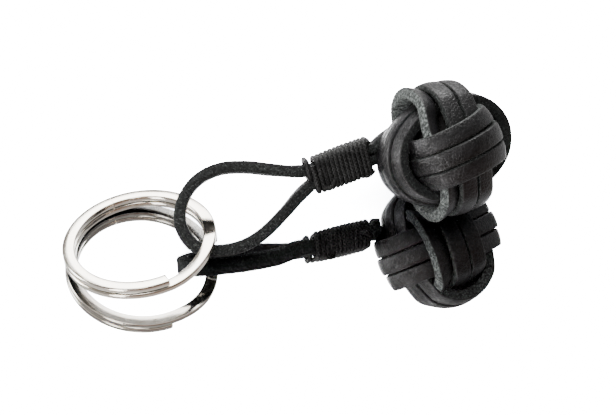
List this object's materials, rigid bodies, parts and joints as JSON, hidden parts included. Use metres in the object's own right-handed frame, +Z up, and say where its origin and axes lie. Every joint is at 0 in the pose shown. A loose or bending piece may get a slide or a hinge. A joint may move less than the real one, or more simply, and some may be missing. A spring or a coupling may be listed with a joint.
{
  "type": "monkey's fist keychain",
  "caption": "Short keychain of flat black leather lace: a monkey's fist knot, a thread whipping, a teardrop key loop and a flat-wire split ring that swings in the loop and springs open",
  "frame": {"origin": "middle of the bounding box on the surface that the keychain lies on", "axes": "+Z up from the surface, +X from the split ring to the fist, +Y to the back, away from the loop's low side"},
  "size_m": [0.0902, 0.03, 0.0268],
  "materials": {
    "lace": "black flat lace, smooth dyed grain side, fibrous cut edges",
    "thread": "dark grey waxed braided thread",
    "nickel": "polished nickel-plated steel wire",
    "ball_wood": "dark stained wood, nearly hidden in the knot"
  },
  "bodies": {
    "strap": {"key_loop": "lace", "whipping": "thread", "whipping_lead_turn": "thread"},
    "ring": {"split_ring": "nickel"},
    "ring_tongue": {"split_ring_tongue": "nickel"},
    "neck": {"neck_strand_upper": "lace", "neck_strand_lower": "lace"},
    "fist": {"core_ball": "ball_wood", "fist_a1": "lace", "fist_a2": "lace", "fist_a3": "lace", "fist_b1": "lace", "fist_b2": "lace", "fist_b3": "lace", "fist_c1": "lace", "fist_c2": "lace", "fist_c3": "lace"}
  },
  "joints": [
    {"name": "ring_swing", "type": "hinge", "parent": "strap", "child": "ring", "pos_m": [-0.0173, -0.005, 0.0058], "axis": [0.2509, 0.9417, -0.2239], "range_deg": [-38, 104]},
    {"name": "ring_open", "type": "hinge", "parent": "ring", "child": "ring_tongue", "pos_m": [-0.0327, 0.01351, 0.00234], "axis": [-0.9796, -0.1972, -0.04], "range_deg": [0, 8], "stiffness_Nm_per_rad": 0.05},
    {"name": "neck_bend", "type": "hinge", "parent": "strap", "child": "neck", "pos_m": [0.01754, 0.00366, 0.01131], "axis": [-0.0699, -0.813, 0.578], "range_deg": [-10, 20], "stiffness_Nm_per_rad": 0.08, "deforming": ["neck_strand_upper", "neck_strand_lower"]},
    {"name": "fist_twist", "type": "hinge", "parent": "neck", "child": "fist", "pos_m": [0.01754, 0.00366, 0.01131], "axis": [0.9869, 0.1306, 0.0948], "range_deg": [-26, 26], "stiffness_Nm_per_rad": 0.05, "deforming": ["neck_strand_upper", "neck_strand_lower"]}
  ]
}
